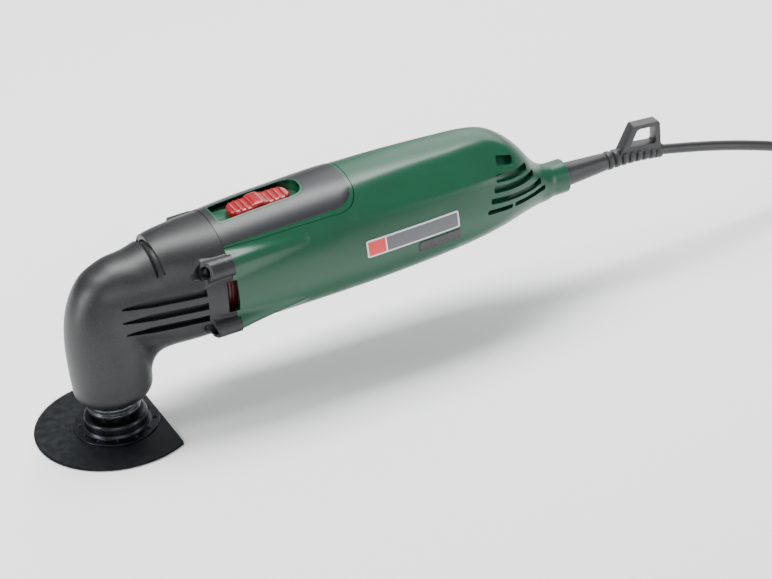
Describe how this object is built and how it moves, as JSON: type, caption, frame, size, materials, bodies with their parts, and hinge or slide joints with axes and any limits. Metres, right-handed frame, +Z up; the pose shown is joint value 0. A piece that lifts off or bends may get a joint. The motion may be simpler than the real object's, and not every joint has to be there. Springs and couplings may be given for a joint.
{
  "type": "oscillating multi tool",
  "caption": "Corded oscillating multi tool with a segment saw blade, angled gear head, slide switch with soft grip, ribbed strain relief with a hanging loop, mains cord and plug.",
  "frame": {"origin": "on the spindle's axis in the plane of the saw blade's underside, at the clamp screw's socket", "axes": "+Z up the spindle axis; +X from the spindle back along the body to the cord; the tool is symmetric about the X-Z plane but for its rear side cover, badge and cord"},
  "size_m": [0.6135, 0.1299, 0.1081],
  "materials": {
    "blued_steel": "blackened, satin",
    "steel": "turned, satin",
    "black_steel": "black oxide",
    "bearing_steel": "ground, polished",
    "rubber": "matte",
    "die_cast_aluminium": "as cast",
    "core_steel": "laminated",
    "copper_winding": "enamelled copper wire",
    "copper": "turned copper",
    "black_plastic": "moulded",
    "carbon": "pressed carbon",
    "brass": "drawn",
    "charcoal_plastic": "spark eroded grain",
    "green_plastic": "fine grain, semi gloss",
    "grip_rubber": "soft grip, satin",
    "dark_red_plastic": "moulded",
    "red_plastic": "moulded, semi gloss",
    "yellow_plastic": "moulded",
    "white_plastic": "moulded",
    "cord_rubber": "satin",
    "plug_rubber": "moulded, matte",
    "nickel_brass": "nickel plated",
    "badge": "foil badge, plain",
    "label": "printed film, plain"
  },
  "bodies": {
    "housing": {"air_guide_ring": "dark_red_plastic", "bearing_boot": "rubber", "bearing_circlip": "black_steel", "brush_holders": "brass", "brush_springs": "brass", "carbon_brushes": "carbon", "cord_clamp": "black_plastic", "cord_clamp_screws": "black_steel", "cord_coil": "cord_rubber", "cord_tail": "cord_rubber", "front_motor_bearing": "bearing_steel", "gear_frame": "die_cast_aluminium", "gear_head_casing": "charcoal_plastic", "grip_overmould": "grip_rubber", "head_screws": "black_steel", "inner_cord": "cord_rubber", "lower_spindle_bearing": "bearing_steel", "motor_end_bracket": "black_plastic", "motor_housing": "green_plastic", "name_badge": "badge", "plug": "plug_rubber", "plug_pins": "nickel_brass", "power_cord": "cord_rubber", "rating_label": "label", "rear_cover_screws": "black_steel", "rear_motor_bearing": "bearing_steel", "rear_side_cover": "green_plastic", "spindle_seal": "rubber", "stator_core": "core_steel", "stator_windings": "copper_winding", "strain_relief": "cord_rubber", "suppression_capacitor": "yellow_plastic", "switch_body": "black_plastic", "terminal_block": "white_plastic", "top_cover": "green_plastic", "upper_spindle_bearing": "bearing_steel"},
    "spindle_body": {"spindle": "steel", "tool_flange": "steel", "saw_blade": "blued_steel", "blade_hub": "blued_steel", "clamp_washer": "steel", "locking_ring": "steel", "clamp_screw": "black_steel", "swing_fork": "steel"},
    "armature": {"motor_shaft": "steel", "eccentric_bearing": "bearing_steel", "armature_core": "core_steel", "armature_windings": "copper_winding", "commutator": "copper", "cooling_fan": "black_plastic"},
    "switch": {"switch_slider": "red_plastic", "switch_rod": "black_plastic"}
  },
  "joints": [
    {"name": "spindle_swing", "type": "hinge", "parent": "housing", "child": "spindle_body", "pos_m": [0, 0, 0.03], "axis": [0, 0, 1], "range_deg": [-1.6, 1.6]},
    {"name": "armature_spin", "type": "hinge", "parent": "housing", "child": "armature", "pos_m": [0.1, 0, 0.075], "axis": [1, 0, 0], "continuous": true},
    {"name": "switch_slide", "type": "slide", "parent": "housing", "child": "switch", "axis": [-1, 0, 0], "range_m": [0, 0.0065]}
  ]
}
